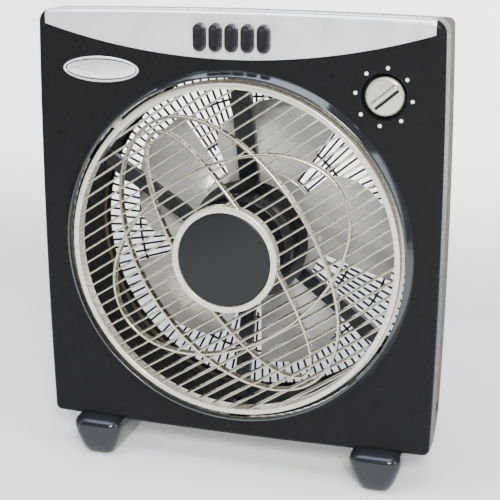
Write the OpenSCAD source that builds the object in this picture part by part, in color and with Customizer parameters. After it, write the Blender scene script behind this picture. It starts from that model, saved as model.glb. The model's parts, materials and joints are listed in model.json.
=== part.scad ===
// Box fan with a rotating louvre grille, five push buttons and a run-down timer.
// Millimetres, +Z up. The front faces -Y. Origin: on the floor under the feet, at mid width and mid depth.
// Most parts are drawn as the front view, x to the right and y up from the fan axis,
// and set back by their depth behind the front edge of the grille rim.

/* [Housing] */
// Width of the housing at its widest
housing_w = 386; // [370:1:400]
// Height of the housing without its feet
housing_h = 407; // [400:1:420]
// How far each side of the housing bows out
side_bow = 3; // [1:0.5:5]
// Radius of the two upper corners in the front view
upper_corner_r = 12; // [8:1:24]
// Radius of the two lower corners in the front view
lower_corner_r = 6; // [4:1:24]
// Thickness of the shell walls
wall = 2.5; // [2:0.1:3]
// Height of the feet under the housing
foot_h = 35.5; // [30:0.5:40]
// Height of the fan axis above the bottom of the housing
axis_up = 184.5; // [182:0.5:190]
// Whole depth, from the crown of the grille to the rear guard
overall_depth = 128; // [124:1:140]

/* [Grille] */
// Outer radius of the visible grille rim
rim_r = 159; // [155:0.5:160]
// Width of the visible grille rim
rim_band = 5.5; // [4:0.5:7]
// Outer radius of the hub ring
hub_ring_r = 50.5; // [48:0.5:54]
// How far the crown of the hub cap stands in front of the rim
crown = 23; // [20:1:28]
// Distance from slat to slat
slat_pitch = 10.55; // [9:0.05:12]
// Thickness of one slat
slat_t = 1.8; // [1.4:0.1:2.4]
// Depth of the slats
slat_depth = 9; // [7:0.5:10]
// Slope of the slats at rest, degrees
slat_slope = 33.5; // [0:0.5:90]

/* [Fan] */
// Tip radius of the blades
blade_r = 138; // [130:1:150]
// Number of blades
blade_count = 5; // [4:1:6]
// Angle that one blade covers near its root, degrees
blade_span = 58; // [40:1:64]
// Angle that one blade covers at its tip, degrees
tip_span = 24; // [15:1:40]
// Direction of the clockwise edge of the first blade at rest, degrees
blade_start = 54.5; // [0:0.5:72]

/* [Controls] */
// Distance from button to button
button_pitch = 15; // [14:0.5:17]
// Width of one button
button_w = 11.6; // [10:0.1:12]
// Length of one button
button_l = 25; // [22:0.5:27]
// Travel of a button
button_travel = 4; // [3:0.5:4]
// Radius of the timer knob
knob_r = 17.3; // [15:0.1:18]

/* [Hidden] */
$fn = 96;
hull_fn = 32;        // facets of a circle inside a hull
thin = 0.01;         // thickness of a layer that only guides a hull

// The fan axis, and the plane of the rim's front edge
ring_y = crown - overall_depth / 2;
ring_z = foot_h + axis_up;
box_up = housing_h / 2 - axis_up;                // middle of the housing above the axis
top_up = housing_h - axis_up;                    // top of the housing above the axis

// Depths behind the rim's front edge
face_d = 7;                                      // front face of the housing
edge_c = 5;                                      // chamfer round the front face
plate_back_d = face_d + wall;
split_d = 35;                                    // joint between the two shells
back_d = overall_depth - crown;                  // rear guard
duct_front_d = 17.5;
duct_back_d = 94;                                // end of the air duct

// Grille opening and duct
opening_r = 163.5;
collar_front_d = 0.5;
collar_r = 170.5;
duct_r = 168;
flange_r = 161.3;
flange_front_d = 11.6;
flange_back_d = 13.4;
dome_h = 20;                                     // rise of the slats at the hub ring
dome_rim_r = 156;
dome_drop = 0.8;                                 // the slats end just behind the rim's front edge
dome_c = (dome_rim_r ^ 2 - hub_ring_r ^ 2 - dome_h ^ 2) / (2 * dome_h);
dome_r = sqrt(dome_rim_r ^ 2 + dome_c ^ 2);
rib_w = 2.6;
cap_r = 44;
// Half axes of the three elliptical ribs: across the slats, then along them
ribs = [[84.6, 141.7], [38.7, 132.5], [125.5, 83.3]];

// Three grooved rollers carry the grille; a plain rubber one drives it
roller_angles = [45, 135, 225];
roller_root_r = 4;
roller_flank_r = 6.2;
roller_way = flange_r + 0.3 + roller_root_r;
drive_angle = 315;
drive_r = 14;
drive_at = (flange_r + 0.3 + drive_r) * [cos(drive_angle), sin(drive_angle)];
pin_r = 1.5;
pin_clearance = 0.06;

// Controls
panel_low = 179.5;                               // lowest point of the panel above the axis
panel_curve_r = 620;
panel_half_w = 182;
panel_d = 5.8;                                   // front face of the panel
panel_t = 2;
panel_wrap_d = 20;                               // how far the panel folds back over the top
button_up = 198.5;
button_front_d = 0.2;
plunger_r = 2.5;
switch_d = 22;                                   // front of the switch block
knob_at = [138.5, 152];
dish_r = 20.6;
dish_floor_d = 15.5;
boss_back_d = 18;
timer_r = 19;
mark_way = 25.5;
badge_at = [-127.6, 166];

// Motor in front, fan behind it
drum_r = 50;
drum_front_d = 25;
drum_back_d = 57;
drum_mid_d = 41;
core_front_d = 31;
core_back_d = 51;
plate_r = 58.7;                                  // flange that the arms spring from
plate_d = 60;                                    // back of that flange
shaft_r = 4;
running = 0.05;                                  // radial clearance of the running shafts
fan_hub_r = 42;
hub_front_d = 64;
hub_back_d = 90;
// The wide arm carries the wires; each arm is [direction, width, how far it runs beside the axis]
arms = [[90, 19, 0], [140, 14, 26], [330, 14, 0], [270, 14, 0]];
arm_screw_way = 161;
arm_tip_r = 166.5;                               // corners of the arms' ends, inside the air duct
arm_ends = [for (a = arms) let (t = sqrt(arm_screw_way ^ 2 - a[2] ^ 2))
    [t * cos(a[0]) - a[2] * sin(a[0]), t * sin(a[0]) + a[2] * cos(a[0])]];
tab_d = 30;                                      // front of the arms' ends
tab_t = 3;

// Fasteners
corner_screws = [[-172, 196], [172, 196], [-180, 22], [180, 22], [-172, -162], [172, -162]];
louvre_motor_at = 188 * [cos(drive_angle), sin(drive_angle)];
louvre_posts = [for (s = [-1, 1]) louvre_motor_at + s * 22 * [cos(45), sin(45)]];
switch_posts = [for (s = [-1, 1]) [s * 49, button_up]];

// Feet
foot_x = 141;
foot_front_y = ring_y - 8;
foot_back_y = ring_y + 94;
foot_screw_y = [ring_y + 25, ring_y + 50];
pad_y = [ring_y + 9, ring_y + 66];

// --- Placing -------------------------------------------------------------------------------

// Front view frame at a depth: local z points at the viewer
module facing(d = 0, at = [0, 0])
    translate([at[0], ring_y + d, ring_z + at[1]]) rotate([90, 0, 0]) children();

// A flat shape of the front view between two depths
module slab(front, back, at = [0, 0])
    facing(back, at) linear_extrude(back - front) children();

// A turned part whose axis runs front to back: profile points are [radius, -depth]
module turned(at = [0, 0])
    facing(0, at) rotate_extrude() children();

function polar(r, a) = r * [cos(a), sin(a)];

// --- Housing outline -----------------------------------------------------------------------

arc_steps = 7;
side_steps = 8;
quarter = [[1, 1], [-1, 1], [-1, -1], [1, -1]];

function corner_arc(q, a, b, r) = [for (k = [0 : arc_steps])
    [quarter[q][0] * (a - r), quarter[q][1] * (b - r)] + polar(r, 90 * (q + k / arc_steps))];

function straight(p, q) = [for (k = [1 : side_steps - 1]) p + (q - p) * k / side_steps];

function bow(p, a, b) = [p[0] * (1 + side_bow / a * (1 - (p[1] / b) ^ 2)),
    p[1] * (1 + side_bow / b * (1 - (p[0] / a) ^ 2))];

function outline_points(inset) = let (
    a = housing_w / 2 - side_bow - inset,
    b = housing_h / 2 - side_bow - inset,
    arcs = [for (q = [0 : 3])
        corner_arc(q, a, b, max((q < 2 ? upper_corner_r : lower_corner_r) - inset, 3))])
    [for (q = [0 : 3])
        for (p = concat(arcs[q], straight(arcs[q][arc_steps], arcs[(q + 1) % 4][0])))
            bow(p, a, b)];

module outline(inset = 0)
    translate([0, box_up]) polygon(outline_points(inset));

// The outer skin of the front shell, or a smaller copy of it, with its front edge chamfered
module skin(front, back, inset = 0) {
    hull() {
        slab(front, front + thin) outline(inset + edge_c);
        slab(front + edge_c, front + edge_c + thin) outline(inset);
    }
    slab(front + edge_c, back) outline(inset);
}

// The rear shell narrows towards the back, and its rear edge is chamfered
module rear_skin(front, back, inset = 0) {
    hull() {
        slab(front, front + thin) outline(inset);
        slab(back - edge_c - thin, back - edge_c) outline(inset + 6);
        slab(back - thin, back) outline(inset + 6 + edge_c);
    }
}

// The area that the control panel covers, in the front view
module panel_area(gap = 0)
    intersection() {
        translate([0, panel_low + panel_curve_r]) circle(panel_curve_r + gap, $fn = 360);
        translate([-panel_half_w - gap, panel_low - 10]) square([2 * (panel_half_w + gap), 60]);
    }

module pill(w, l)
    union() {
        square([w, l - w], center = true);
        for (s = [-1, 1]) translate([0, s * (l - w) / 2]) circle(w / 2);
    }

module screw_tube(at, front, back, outer, inner)
    difference() {
        slab(front, back, at) circle(outer);
        slab(front - 1, back + 1, at) circle(inner);
    }

// --- Front shell ---------------------------------------------------------------------------

module front_shell_walls()
    difference() {
        skin(face_d, split_d);
        intersection() {
            skin(plate_back_d, split_d + 1, wall);
            slab(0, split_d + 2) translate([-250, -250]) square([500, 250 + top_up - 2 * wall]);
        }
        slab(-1, split_d) circle(opening_r);
    }

module collar()
    turned() polygon([[opening_r, -plate_back_d], [opening_r, -collar_front_d],
        [opening_r + 1.5, -collar_front_d], [collar_r, -face_d], [collar_r, -plate_back_d]]);

module front_duct() {
    difference() {
        slab(duct_front_d, duct_back_d) circle(duct_r + wall);
        slab(duct_front_d - 1, duct_back_d + 1) circle(duct_r);
    }
    // webs that join the duct to the shell and to the face
    difference() {
        intersection() {
            skin(face_d, split_d, 1);
            slab(9, 33) for (a = [0, 64, 116, 180, 244, 296])
                rotate(a) translate([duct_r + 1, -wall / 2]) square([120, wall]);
        }
        slab(8, duct_front_d) circle(duct_r + 6);
    }
    // lugs for the arms of the motor bracket
    for (p = arm_ends) slab(18, tab_d, p) circle(8);
}

module front_bosses() {
    slab(plate_back_d - 0.1, 10.6, [0, button_up]) square([86, 34], center = true);
    slab(face_d + 1, boss_back_d, knob_at) circle(dish_r + 2.4);
    for (p = corner_screws) slab(plate_back_d - 0.1, split_d, p) circle(5);
    for (p = switch_posts) slab(plate_back_d - 0.1, switch_d, p) circle(4);
    for (p = louvre_posts) slab(plate_back_d - 0.1, switch_d, p) circle(4);
    for (s = [-1, 1]) translate([s * foot_x, foot_screw_y[0], foot_h + 3.5]) cylinder(r = 5, h = 14.5);
}

module front_cuts() {
    // seat of the control panel: the face is set back and the top is lowered
    intersection() {
        slab(0, panel_wrap_d + 0.2) panel_area(0.2);
        difference() {
            slab(0, panel_wrap_d + 0.2) translate([-250, 150]) square([500, 100]);
            skin(panel_d + panel_t + 0.1, panel_wrap_d + 1, panel_t + 0.2);
        }
    }
    for (k = [-2 : 2])
        slab(0, 12, [k * button_pitch, button_up]) pill(button_w + 0.8, button_l + 0.8);
    slab(0, dish_floor_d, knob_at) circle(dish_r);
    slab(0, boss_back_d + 1, knob_at) circle(5.1);
    for (a = roller_angles) slab(5, 10, polar(roller_way, a)) circle(pin_r);
    for (p = arm_ends) slab(19, tab_d + 1, p) circle(1.6);
    for (p = corner_screws) slab(18, split_d + 1, p) circle(1.6);
    for (p = concat(switch_posts, louvre_posts)) slab(14, switch_d + 1, p) circle(1.25);
    for (s = [-1, 1]) translate([s * foot_x, foot_screw_y[0], foot_h - 1]) cylinder(r = 2, h = 17);
}

module front_housing()
    color("#1b1b1d") difference() {
        union() {
            front_shell_walls();
            collar();
            front_duct();
            front_bosses();
        }
        front_cuts();
    }

module control_panel()
    color("#dcdcd8") difference() {
        intersection() {
            difference() {
                skin(panel_d, panel_wrap_d);
                skin(panel_d + panel_t, panel_wrap_d + 1, panel_t);
            }
            slab(0, panel_wrap_d + 1) panel_area();
        }
        for (k = [-2 : 2])
            slab(0, 12, [k * button_pitch, button_up]) pill(button_w + 0.8, button_l + 0.8);
    }

function ellipse_points(a, b, n = 48) = [for (k = [0 : n - 1]) [a * cos(360 * k / n), b * sin(360 * k / n)]];

module badge()
    color("#c9c9c4") difference() {
        slab(face_d - 1.8, face_d, badge_at) polygon(ellipse_points(37.6, 12));
        slab(face_d - 2, face_d - 1, badge_at) polygon(ellipse_points(35.8, 10.2));
    }

module dial_marks()
    color("white") for (k = [0 : 7])
        slab(face_d - 0.3, face_d, knob_at + polar(mark_way, 38.5 + 45 * k)) circle(1.7);

// --- Push buttons and their switch ----------------------------------------------------------

module button(k)
    color("#202023") {
        hull() {
            slab(button_front_d, button_front_d + thin, [k * button_pitch, button_up])
                pill(button_w - 3.6, button_l - 3.6, $fn = hull_fn);
            slab(button_front_d + 2, button_front_d + 3, [k * button_pitch, button_up])
                pill(button_w, button_l, $fn = hull_fn);
        }
        slab(button_front_d + 2.5, 13.2, [k * button_pitch, button_up]) pill(button_w, button_l);
        slab(11.2, 13.2, [k * button_pitch, button_up]) pill(button_w, button_l + 5);
        slab(13, 30, [k * button_pitch, button_up]) circle(plunger_r);
    }

module button_off() button(-2);
module button_low() button(-1);
module button_medium() button(0);
module button_high() button(1);
module button_louvre() button(2);

module switch_block()
    color("#8b2f20") difference() {
        union() {
            slab(switch_d, 41, [0, button_up]) square([84, 24], center = true);
            slab(switch_d, 25, [0, button_up]) square([108, 14], center = true);
        }
        for (k = [-2 : 2])
            slab(switch_d - 1, 33 + button_travel, [k * button_pitch, button_up]) circle(plunger_r + running);
        for (p = switch_posts) slab(switch_d - 1, 26, p) circle(1.7);
    }

// A coil that lies along the depth, as a closed tube through computed rings
spring_turns = 2.5;
spring_steps = 12;
wire_sides = 4;
function spring_ring(r, wire, length, k) = let (t = 360 * k / spring_steps,
    z = wire + (length - 2 * wire) * k / (spring_steps * spring_turns))
    [for (j = [0 : wire_sides - 1]) let (w = 360 * j / wire_sides)
        [(r + wire * cos(w)) * cos(t), (r + wire * cos(w)) * sin(t), z + wire * sin(w)]];

module coil(r, wire, length) {
    rings = spring_steps * spring_turns;
    points = [for (k = [0 : rings]) each spring_ring(r, wire, length, k)];
    sides = [for (k = [0 : rings - 1]) for (j = [0 : wire_sides - 1])
        let (a = k * wire_sides + j, b = k * wire_sides + (j + 1) % wire_sides)
            each [[a, b, a + wire_sides], [b, b + wire_sides, a + wire_sides]]];
    first = [[for (j = [wire_sides - 1 : -1 : 0]) j]];
    last = [[for (j = [0 : wire_sides - 1]) rings * wire_sides + j]];
    polyhedron(points, concat(first, sides, last));
}

// The springs are drawn at the length that they have when the buttons are pressed
module button_springs()
    color("#b8b8bc") for (k = [-2 : 2])
        facing(switch_d - 0.05, [k * button_pitch, button_up]) coil(3.6, 0.35, 4.4);

// --- Timer ----------------------------------------------------------------------------------

knob_front_d = 9;
knob_back_d = 12.8;

module timer_knob()
    color("#c4c2b6") {
        turned(knob_at) polygon([[2.02, -knob_back_d], [2.02, -10.4], [0, -10.4], [0, -knob_front_d],
            [knob_r - 1.4, -knob_front_d], [knob_r, -knob_front_d - 1.4], [knob_r, -knob_back_d]]);
        facing(knob_front_d + 0.5, knob_at) rotate(40) translate([-14.5, -2, 0]) cube([29.5, 4, 5.5]);
    }

module timer_shaft()
    color("#9a9a9e") slab(10.5, 30, knob_at) circle(2);

module timer_case()
    color("#d8d4c4") difference() {
        union() {
            slab(boss_back_d, 42, knob_at) circle(timer_r);
            slab(13.4, boss_back_d + 1, knob_at) circle(5);
        }
        slab(12, 32, knob_at) circle(2 + running);
    }

module timer_nut()
    color("#a8a8ac") difference() {
        slab(13.4, dish_floor_d, knob_at) circle(7, $fn = 6);
        slab(13, dish_floor_d + 1, knob_at) circle(5.05);
    }

// --- Grille ---------------------------------------------------------------------------------

function dome_z(r) = sqrt(dome_r ^ 2 - r ^ 2) - dome_c - dome_drop;

// One stretch of a slat, from x0 to x1 along it, at a distance h from the middle
slat_cuts = 10;
module slat(h, x0, x1) {
    front = [for (k = [0 : slat_cuts]) let (x = x0 + (x1 - x0) * k / slat_cuts)
        [x, dome_z(sqrt(x ^ 2 + h ^ 2))]];
    back = [for (k = [slat_cuts : -1 : 0]) [front[k][0], front[k][1] - slat_depth]];
    translate([0, h + slat_t / 2, 0]) rotate([90, 0, 0]) linear_extrude(slat_t)
        polygon(concat(front, back));
}

module slats() {
    last = floor((dome_rim_r - 2) / slat_pitch);
    reach = dome_rim_r - 1.5;
    for (k = [-last : last]) {
        h = k * slat_pitch;
        x1 = sqrt(reach ^ 2 - h ^ 2);
        inner = hub_ring_r - 1.5;
        if (abs(h) < inner) {
            x0 = sqrt(inner ^ 2 - h ^ 2);
            for (s = [0, 1]) mirror([s, 0, 0]) slat(h, x0, x1);
        } else slat(h, -x1, x1);
    }
}

// A rib stands a little proud of the slats and follows the dome
rib_steps = 60;
function rib_corner(a, b, t, c) = let (
    w = (c == 0 || c == 3) ? rib_w / 2 : -rib_w / 2,
    x = (a + w) * cos(t), y = (b + w) * sin(t))
    [x, y, dome_z(sqrt(x ^ 2 + y ^ 2)) + (c < 2 ? 0.5 : 1 - slat_depth)];

// A rib that would cross the hub stops inside the hub ring
function rib_start(a, b) = asin(sqrt(((hub_ring_r - 1.5) ^ 2 - a ^ 2) / (b ^ 2 - a ^ 2)));

module half_rib(a, b) {
    start = rib_start(a, b);
    points = [for (k = [0 : rib_steps]) for (c = [0 : 3])
        rib_corner(a, b, start + (180 - 2 * start) * k / rib_steps, c)];
    last = 4 * rib_steps;
    sides = [for (k = [0 : rib_steps - 1]) for (c = [0 : 3])
        let (p = 4 * k + c, q = 4 * k + (c + 1) % 4) each [[p, q, p + 4], [q, q + 4, p + 4]]];
    polyhedron(points, concat(sides, [[3, 2, 1, 0], [last, last + 1, last + 2, last + 3]]));
}

module elliptical_rib(a, b) {
    points = [for (k = [0 : rib_steps - 1]) for (c = [0 : 3]) rib_corner(a, b, 360 * k / rib_steps, c)];
    count = 4 * rib_steps;
    faces = [for (k = [0 : rib_steps - 1]) for (c = [0 : 3])
        let (p = 4 * k + c, q = 4 * k + (c + 1) % 4, pn = (p + 4) % count, qn = (q + 4) % count)
            each [[p, q, pn], [q, qn, pn]]];
    polyhedron(points, faces);
}

module louvre_grille()
    color("#cfcabb") {
        facing() rotate(slat_slope) {
            slats();
            for (r = ribs)
                if (r[0] > hub_ring_r) elliptical_rib(r[0], r[1]);
                else for (side = [0, 180]) rotate(side) half_rib(r[0], r[1]);
        }
        turned() polygon([[rim_r - rim_band, -flange_back_d], [rim_r - rim_band, -0.8],
            [rim_r - rim_band + 0.8, 0], [rim_r - 1, 0], [rim_r, -1], [rim_r, -flange_front_d],
            [flange_r, -flange_front_d], [flange_r, -flange_back_d]]);
        turned() polygon([[0, 9], [hub_ring_r, 9], [hub_ring_r, dome_h], [hub_ring_r - 1, dome_h + 1],
            [cap_r + 1.4, dome_h + 1], [cap_r + 0.5, dome_h], [cap_r + 0.5, 11.5], [0, 11.5]]);
    }

module hub_cap()
    color("#19191b") turned()
        polygon(concat([[0, 11.5], [cap_r, 11.5]],
            [for (k = [10 : -1 : 0]) let (r = cap_r * k / 10) [r, crown - 3 * (r / cap_r) ^ 2]]));

module guide_roller(a)
    color("#efece0") turned(polar(roller_way, a)) roller_profile(pin_r + pin_clearance);

module roller_profile(bore)
    polygon([[bore, -10.2], [roller_flank_r, -10.2], [roller_flank_r, -11.3],
        [roller_root_r, -11.3], [roller_root_r, -13.7], [roller_flank_r, -13.7],
        [roller_flank_r, -14.8], [bore, -14.8]]);

module guide_roller_1() guide_roller(roller_angles[0]);
module guide_roller_2() guide_roller(roller_angles[1]);
module guide_roller_3() guide_roller(roller_angles[2]);

module drive_roller()
    color("#2a2a2a") difference() {
        slab(10.2, 14.8, drive_at) circle(drive_r);
        slab(9, 16, drive_at) circle(pin_r);
    }

module drive_shaft()
    color("#b0b0b4") slab(10.2, 34, drive_at) circle(pin_r);

module roller_pins()
    color("#b0b0b4") for (a = roller_angles) {
        slab(5, 16, polar(roller_way, a)) circle(pin_r);
        slab(15.2, 16.6, polar(roller_way, a)) circle(3.2);
    }

module louvre_motor()
    color("#c9c4a8") difference() {
        union() {
            slab(switch_d, 40, louvre_motor_at) circle(16);
            hull() for (p = louvre_posts) slab(switch_d, 23.5, p) circle(4.5, $fn = hull_fn);
        }
        slab(switch_d - 1, 36, drive_at) circle(pin_r + pin_clearance);
        for (p = louvre_posts) slab(switch_d - 1, 25, p) circle(1.7);
    }

// --- Fan --------------------------------------------------------------------------------------

blade_root_r = fan_hub_r - 1;
span_steps = 7;
chord_steps = 8;
blade_t = 2;
blade_front_d = 71;                              // front edge of a blade, on its counterclockwise side
blade_twist_d = 25;                              // how much deeper its clockwise edge lies
full_r = 90;                                     // out to here a blade keeps its full width
disc_r = 66;                                     // disc that joins the blades
disc_d = 86;

function blade_width(r) = r < full_r ? blade_span
    : blade_span - (blade_span - tip_span) * ((r - full_r) / (blade_r - full_r)) ^ 2.2;

// A point of one blade: u runs from root to tip, v from the clockwise edge to the other
function blade_point(u, v, back) = let (
    r = blade_root_r + (blade_r - blade_root_r) * u,
    turn = blade_width(r) * v,
    d = blade_front_d + blade_twist_d * (1 - turn / blade_span) - 2 * sin(180 * v) + (back ? blade_t : 0),
    p = polar(r, turn))
    [p[0], p[1], -d];

module blade() {
    row = chord_steps + 1;
    count = row * (span_steps + 1);
    points = [for (back = [false, true]) for (i = [0 : span_steps]) for (j = [0 : chord_steps])
        blade_point(i / span_steps, j / chord_steps, back)];
    skins = [for (i = [0 : span_steps - 1]) for (j = [0 : chord_steps - 1]) let (a = i * row + j)
        each [[a, a + 1, a + row], [a + 1, a + row + 1, a + row],
            [count + a, count + a + row, count + a + 1],
            [count + a + 1, count + a + row, count + a + row + 1]]];
    last = span_steps * row;
    ends = [for (j = [0 : chord_steps - 1])
        each [[j, count + j, j + 1], [j + 1, count + j, count + j + 1],
            [last + j, last + j + 1, last + count + j],
            [last + j + 1, last + count + j + 1, last + count + j]]];
    edges = [for (i = [0 : span_steps - 1]) let (a = i * row, b = a + chord_steps)
        each [[a, a + row, count + a], [a + row, count + a + row, count + a],
            [b, count + b, b + row], [b + row, count + b, count + b + row]]];
    polyhedron(points, concat(skins, ends, edges));
}

module fan_blades()
    color("#b9b9b6") difference() {
        union() {
            facing() for (k = [0 : blade_count - 1])
                rotate(blade_start + 360 / blade_count * k) blade();
            turned() polygon([[fan_hub_r - 1, -disc_d], [disc_r - 2, -disc_d], [disc_r, -disc_d - 2],
                [disc_r, -disc_d - 4], [disc_r - 3, -disc_d - 2], [fan_hub_r - 1, -disc_d - 2]]);
        }
        slab(hub_front_d - 2, hub_back_d + 10) circle(fan_hub_r);
    }

module fan_hub()
    color("#18181a") turned() polygon([[shaft_r, -hub_front_d], [fan_hub_r - 3, -hub_front_d],
        [fan_hub_r, -hub_front_d - 3], [fan_hub_r, -95], [fan_hub_r - 2.5, -95],
        [fan_hub_r - 2.5, -hub_front_d - 5], [fan_hub_r - 5, -hub_front_d - 2.5],
        [9, -hub_front_d - 2.5], [9, -hub_back_d], [shaft_r, -hub_back_d]]);

module fan_nut()
    color("#18181a") difference() {
        slab(hub_back_d, 98, [0, 0]) circle(11, $fn = 6);
        slab(hub_back_d - 1, 97) circle(shaft_r);
    }

module motor_shaft()
    color("#c8c8cc") slab(drum_front_d - 1, 97) circle(shaft_r);

module rotor()
    color("#8d8d90") difference() {
        slab(core_front_d, core_back_d) circle(25.5);
        slab(core_front_d - 1, core_back_d + 1) circle(shaft_r);
    }

module stator()
    color("#77777a") difference() {
        slab(core_front_d, core_back_d) circle(drum_r - 2.6);
        slab(core_front_d - 1, core_back_d + 1) circle(26);
    }

module motor_windings()
    color("#b06a2c") for (d = [[28, core_front_d], [core_back_d, 54]])
        difference() {
            slab(d[0], d[1]) circle(45);
            slab(d[0] - 1, d[1] + 1) circle(30);
        }

module motor_front_shield()
    color("#26262a") turned() polygon([[8, -drum_front_d], [drum_r - 4, -drum_front_d],
        [drum_r, -drum_front_d - 4], [drum_r, -drum_mid_d], [drum_r - wall, -drum_mid_d],
        [drum_r - wall, -drum_front_d - 4.5], [drum_r - 4.5, -drum_front_d - wall],
        [8, -drum_front_d - wall]]);

bracket_screw_way = 38;
module motor_rear_shield()
    color("#26262a") difference() {
        turned() polygon([[8, -drum_back_d], [drum_r, -drum_back_d], [drum_r, -drum_mid_d],
            [drum_r - wall, -drum_mid_d], [drum_r - wall, -drum_back_d + wall],
            [8, -drum_back_d + wall]]);
        for (a = [30, 150, 270]) slab(54, 58, polar(bracket_screw_way, a)) circle(1.9);
    }

module motor_bushes()
    color("#a9823e") for (d = [[drum_front_d, 30.5], [51.5, drum_back_d]])
        difference() {
            slab(d[0], d[1]) circle(8);
            slab(d[0] - 1, d[1] + 1) circle(shaft_r + running);
        }

// One arm, seen from its side: out along x, depth along -y
module arm_side(w, points)
    translate([0, w / 2, 0]) rotate([90, 0, 0]) linear_extrude(w) polygon(points);

module arm(w, offset) {
    tip = sqrt(arm_tip_r ^ 2 - (offset + w / 2) ^ 2);
    arm_side(w, [[46, -drum_back_d - 0.2], [60, -drum_back_d - 0.2], [148, -tab_d], [tip, -tab_d],
        [tip, -tab_d - tab_t], [149, -tab_d - tab_t], [61, -plate_d + 0.2], [46, -plate_d + 0.2]]);
    for (s = [-1, 1]) translate([0, s * (w / 2 - 1), 0])
        arm_side(2, [[56, -58], [61, -58.5], [148, -31.5], [152, -31.5],
            [152, -36], [148, -38], [66, -62.5], [56, -62.5]]);
}

module motor_bracket()
    color("#1a1a1c") difference() {
        union() {
            slab(drum_back_d, plate_d) circle(plate_r);
            for (a = arms) facing() rotate(a[0]) translate([0, a[2], 0]) arm(a[1], a[2]);
        }
        slab(drum_back_d - 1, plate_d + 1) circle(12);
        for (a = [30, 150, 270]) slab(56, 61, polar(bracket_screw_way, a)) circle(2.2);
        for (p = arm_ends) slab(28, 35, p) circle(2.1);
    }

module capacitor()
    color("#e4e0d0") slab(80, back_d - wall, [-148, -145]) square([34, 24], center = true);

// --- Rear shell -------------------------------------------------------------------------------

gland_at = [150, -150];
gland_bore_r = 3.5;

module rear_housing()
    color("#a39a82") difference() {
        union() {
            difference() {
                rear_skin(split_d, back_d);
                rear_skin(split_d - 0.5, back_d - wall, wall);
            }
            for (p = corner_screws) slab(split_d, back_d - 1, p) circle(6);
            for (a = guard_screw_angles) slab(back_d - 10, back_d - 1, polar(guard_screw_way, a)) circle(4);
            for (s = [-1, 1])
                translate([s * foot_x, foot_screw_y[1], foot_h + 5.5]) cylinder(r = 5, h = 14.5);
        }
        slab(back_d - 5, back_d + 1) circle(guard_r + 0.3);
        for (a = guard_screw_angles) {
            slab(back_d - 9, back_d + 1, polar(guard_screw_way, a)) circle(1.4);
            slab(back_d - 2.2, back_d + 1) rotate(a) translate([guard_r - 4, -6]) square([13, 12]);
        }
        for (p = corner_screws) {
            slab(split_d - 1, back_d + 1, p) circle(2.1);
            slab(50, back_d + 1, p) circle(4.2);
        }
        for (s = [-1, 1]) {
            translate([s * foot_x, foot_screw_y[1], foot_h - 1]) cylinder(r = 2, h = 19);
            // slot for parting the two shells
            translate([s * (housing_w / 2), ring_y + 42, ring_z - 146]) cube([8, 14, 6], center = true);
        }
        slab(back_d - 5, back_d + 1, gland_at) circle(6.1);
        slab(back_d - 1.5, back_d + 1, gland_at) circle(9.1);
    }

guard_rings = [62, 95, 132];
spoke_count = 60;
guard_r = 169;                                   // outside of the guard's rim
guard_screw_way = 173;
guard_screw_angles = [35, 145, 215, 325];

module guard_pattern() {
    difference() {
        circle(guard_r);
        circle(guard_r - 4);
    }
    for (r = guard_rings)
        difference() {
            circle(r + 1.2);
            circle(r - 1.2);
        }
    for (k = [0 : spoke_count - 1]) rotate(k * 360 / spoke_count) {
        translate([44, -1]) square([guard_r - 46, 2]);
        rotate(180 / spoke_count) translate([90, -1]) square([guard_r - 92, 2]);
    }
    circle(45);
}

module rear_guard()
    color("#1a1a1c") {
        slab(back_d - wall, back_d) guard_pattern();
        difference() {
            slab(back_d - 2, back_d) for (a = guard_screw_angles)
                rotate(a) translate([guard_r - 3, -5.5]) square([11, 11]);
            for (a = guard_screw_angles) slab(back_d - 3, back_d + 1, polar(guard_screw_way, a)) circle(1.7);
        }
    }

module cord_gland()
    color("#151517") turned(gland_at) polygon([[gland_bore_r, -(back_d - 12)], [6, -(back_d - 12)],
        [6, -(back_d - 1.5)], [9, -(back_d - 1.5)], [9, -back_d], [gland_bore_r, -back_d]]);

// --- Feet and fasteners -----------------------------------------------------------------------

// One layer of a foot: a rounded rectangle at height z
module foot_layer(x, z, half_w, in_front, in_back, r)
    for (sx = [-1, 1], y = [foot_front_y + in_front + r, foot_back_y - in_back - r])
        translate([x + sx * (half_w - r), y, z]) cylinder(r = r, h = thin, $fn = hull_fn);

module foot(x)
    color("#141416") difference() {
        hull() {
            foot_layer(x, 1.2, 13.5, 9, 18, 8);
            foot_layer(x, 5, 15.8, 6, 12, 9);
            foot_layer(x, 13, 19.6, 2.4, 5, 10.5);
            foot_layer(x, 22, 22.8, 0.6, 1.2, 11.5);
            foot_layer(x, 31, 25, 0, 0, 12);
            foot_layer(x, foot_h + 1, 23.3, 2.4, 1, 11);
            foot_layer(x, foot_h + 4, 19.5, 10, 2, 9);
            foot_layer(x, foot_h + 7, 15, 20, 4, 8);
        }
        skin(face_d - 0.1, split_d + 0.1, -0.1);
        rear_skin(split_d, back_d + 1, -0.1);
        for (y = foot_screw_y) {
            translate([x, y, 0]) cylinder(r = 4.5, h = 28);
            translate([x, y, 20]) cylinder(r = 2.2, h = 30);
        }
        for (y = pad_y) translate([x, y, 0]) cylinder(r = 6.2, h = 3);
    }

module foot_left() foot(-foot_x);
module foot_right() foot(foot_x);

module foot_pads()
    color("#303030") for (x = [-foot_x, foot_x], y = pad_y)
        translate([x, y, 0]) cylinder(r = 6, h = 2.9);

module foot_screws()
    color("#8a8a8e") for (x = [-foot_x, foot_x], y = foot_screw_y) {
        translate([x, y, 25]) cylinder(r = 4, h = 3);
        translate([x, y, 27]) cylinder(r = 2, h = 22);
    }

module screw(at, head_d, tip_d, head_r, r) {
    slab(head_d - 2.2, head_d, at) circle(head_r);
    slab(tip_d, head_d - 1, at) circle(r);
}

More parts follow.
